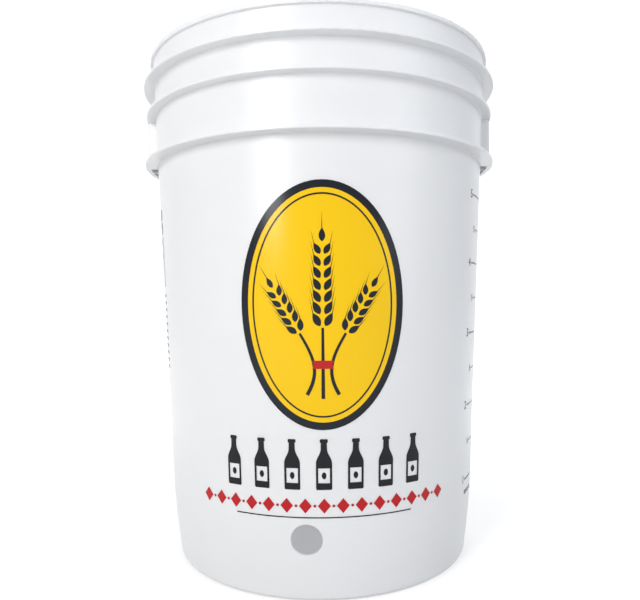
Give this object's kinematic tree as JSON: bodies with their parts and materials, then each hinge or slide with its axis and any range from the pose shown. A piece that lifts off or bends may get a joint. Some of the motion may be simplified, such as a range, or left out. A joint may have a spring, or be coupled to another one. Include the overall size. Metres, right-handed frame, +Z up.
{
  "type": "bottling bucket",
  "caption": "Tall white moulded pail with a drilled spigot hole low in the front, ribbed neck rings, hollow bail ears and a swinging wire bail with a turning grip.",
  "frame": {"origin": "centre of the base, on the plane that the foot ring stands on", "axes": "+Z up along the pail's axis; -Y is the front, with the spigot hole; the bail's ears are on the X axis"},
  "size_m": [0.3346, 0.3354, 0.441],
  "materials": {
    "white_polyethylene": "satin white",
    "zinc_wire": "zinc plated, satin",
    "grip_polyethylene": "satin white"
  },
  "bodies": {
    "pail": {"pail": "white_polyethylene"},
    "bail": {"bail_wire": "zinc_wire"},
    "grip": {"bail_grip": "grip_polyethylene"}
  },
  "joints": [
    {"name": "bail_hinge", "type": "hinge", "parent": "pail", "child": "bail", "pos_m": [0, 0, 0.376], "axis": [1, 0, 0], "range_deg": [0, 235.3]},
    {"name": "grip_turn", "type": "hinge", "parent": "bail", "child": "grip", "pos_m": [0, 0.16085, 0.29171], "axis": [1, 0, 0], "continuous": true}
  ]
}
